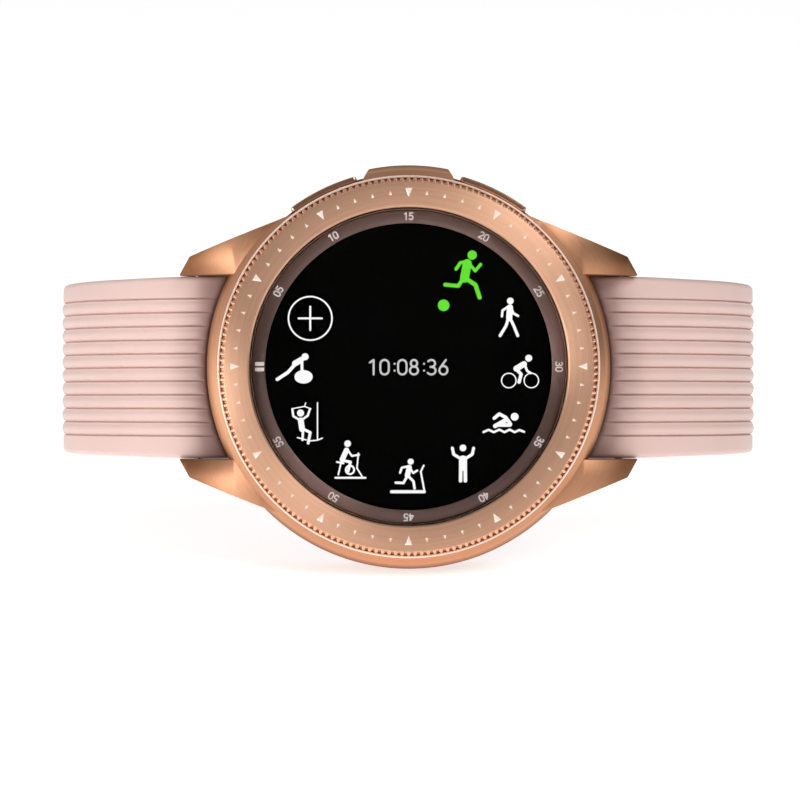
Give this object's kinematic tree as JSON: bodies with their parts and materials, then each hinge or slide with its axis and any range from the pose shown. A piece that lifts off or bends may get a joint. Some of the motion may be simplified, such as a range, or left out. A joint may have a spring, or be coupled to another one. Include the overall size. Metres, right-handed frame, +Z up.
{
  "type": "smartwatch",
  "caption": "Round smartwatch with a turning bezel, two side keys, a black display with workout icons and an open ribbed rubber strap with a pin buckle.",
  "frame": {"origin": "centre of the object's footprint, on the surface that the case and the strap edges stand on", "axes": "+Z up, towards the side keys; -Y to the front, where the dial faces, leaning back a little; +X to the wearer's 6 o'clock strap half, to the right as the dial is seen"},
  "size_m": [0.0796, 0.0928, 0.0436],
  "materials": {
    "rose_gold_case": "brushed steel plated rose gold",
    "rose_gold_bezel": "satin steel plated rose gold",
    "rose_gold_polished": "polished steel plated rose gold",
    "display_glass": "clear hardened glass",
    "ring_print": "dark brown print under the glass",
    "display_black": "black display",
    "strap_rubber": "matt blush pink rubber",
    "cover_plastic": "dark brown moulded plastic",
    "sensor_glass": "polished black window",
    "steel": "bare stainless steel",
    "seal_rubber": "black rubber",
    "bracket_plastic": "moulded black plastic",
    "board_green": "green solder mask",
    "chip_black": "moulded chip",
    "shield_tin": "tinned sheet",
    "flex_amber": "amber film",
    "battery_foil": "grey foil",
    "coil_copper": "enamelled copper",
    "ferrite": "matt ferrite",
    "antenna_plastic": "cream carrier with plated track",
    "magnet": "nickel plate"
  },
  "bodies": {
    "case": {"case_body": "rose_gold_case", "back_cover": "cover_plastic", "sensor_window": "sensor_glass", "back_gasket": "seal_rubber", "back_screws": "steel", "display_glass": "display_glass", "glass_gasket": "seal_rubber", "dial_ring": "ring_print", "display_panel": "display_black", "display_bracket": "bracket_plastic", "display_flex": "flex_amber", "main_board": "board_green", "board_shields": "shield_tin", "board_chips": "chip_black", "hall_sensors": "chip_black", "antenna_ring": "antenna_plastic", "battery": "battery_foil", "battery_tray": "bracket_plastic", "battery_lead": "flex_amber", "vibration_motor": "steel", "speaker": "bracket_plastic", "speaker_mesh": "steel", "microphone": "steel", "sensor_board": "board_green", "sensor_diodes": "chip_black", "charging_coil": "coil_copper", "ferrite_sheet": "ferrite", "key_switches": "steel", "key_flex": "flex_amber", "key_seals": "seal_rubber", "bezel_retainer": "steel", "detent_balls": "steel", "detent_springs": "steel"},
    "bezel": {"bezel": "rose_gold_bezel", "bezel_magnets": "magnet"},
    "back_key": {"back_key": "rose_gold_polished", "back_key_clip": "steel"},
    "home_key": {"home_key": "rose_gold_polished", "home_key_clip": "steel"},
    "strap_12": {"strap_buckle_side": "strap_rubber", "spring_bar_left": "steel", "bar_spring_left": "steel", "buckle_bar": "steel", "fixed_keeper": "strap_rubber"},
    "release_12": {"release_pin_left": "steel"},
    "strap_6": {"strap_tail_side": "strap_rubber", "spring_bar_right": "steel", "bar_spring_right": "steel"},
    "release_6": {"release_pin_right": "steel"},
    "buckle": {"buckle_frame": "rose_gold_polished"},
    "tongue": {"buckle_tongue": "rose_gold_polished"},
    "free_keeper": {"free_keeper": "strap_rubber"}
  },
  "joints": [
    {"name": "bezel_turn", "type": "hinge", "parent": "case", "child": "bezel", "pos_m": [0, -0.04244, 0.02264], "axis": [0, -0.9878, 0.1555], "continuous": true},
    {"name": "back_key_press", "type": "slide", "parent": "case", "child": "back_key", "axis": [-0.4407, -0.1396, -0.8867], "range_m": [0, 0.0003], "stiffness_N_per_m": 2000, "springref_m": -0.0004},
    {"name": "home_key_press", "type": "slide", "parent": "case", "child": "home_key", "axis": [0.4407, -0.1396, -0.8867], "range_m": [0, 0.0003], "stiffness_N_per_m": 2000, "springref_m": -0.0004},
    {"name": "strap_12_swing", "type": "hinge", "parent": "case", "child": "strap_12", "pos_m": [-0.023, -0.03433, 0.02137], "axis": [0, 0.1555, 0.9878], "range_deg": [0, 50]},
    {"name": "strap_6_swing", "type": "hinge", "parent": "case", "child": "strap_6", "pos_m": [0.023, -0.03433, 0.02137], "axis": [0, -0.1555, -0.9878], "range_deg": [0, 50]},
    {"name": "release_12_slide", "type": "slide", "parent": "strap_12", "child": "release_12", "axis": [0, 0.1555, 0.9878], "range_m": [0, 0.0012], "stiffness_N_per_m": 800, "springref_m": -0.0012},
    {"name": "release_6_slide", "type": "slide", "parent": "strap_6", "child": "release_6", "axis": [0, 0.1555, 0.9878], "range_m": [0, 0.0012], "stiffness_N_per_m": 800, "springref_m": -0.0012},
    {"name": "buckle_turn", "type": "hinge", "parent": "strap_12", "child": "buckle", "pos_m": [-0.02319, 0.02463, 0.01209], "axis": [0, 0.1555, 0.9878], "range_deg": [-25, 30]},
    {"name": "tongue_turn", "type": "hinge", "parent": "buckle", "child": "tongue", "pos_m": [-0.02319, 0.02463, 0.01209], "axis": [0, 0.1555, 0.9878], "range_deg": [0, 75]},
    {"name": "free_keeper_slide", "type": "slide", "parent": "strap_12", "child": "free_keeper", "axis": [0.5, 0.8555, -0.1347], "range_m": [-0.004, 0.002]}
  ]
}
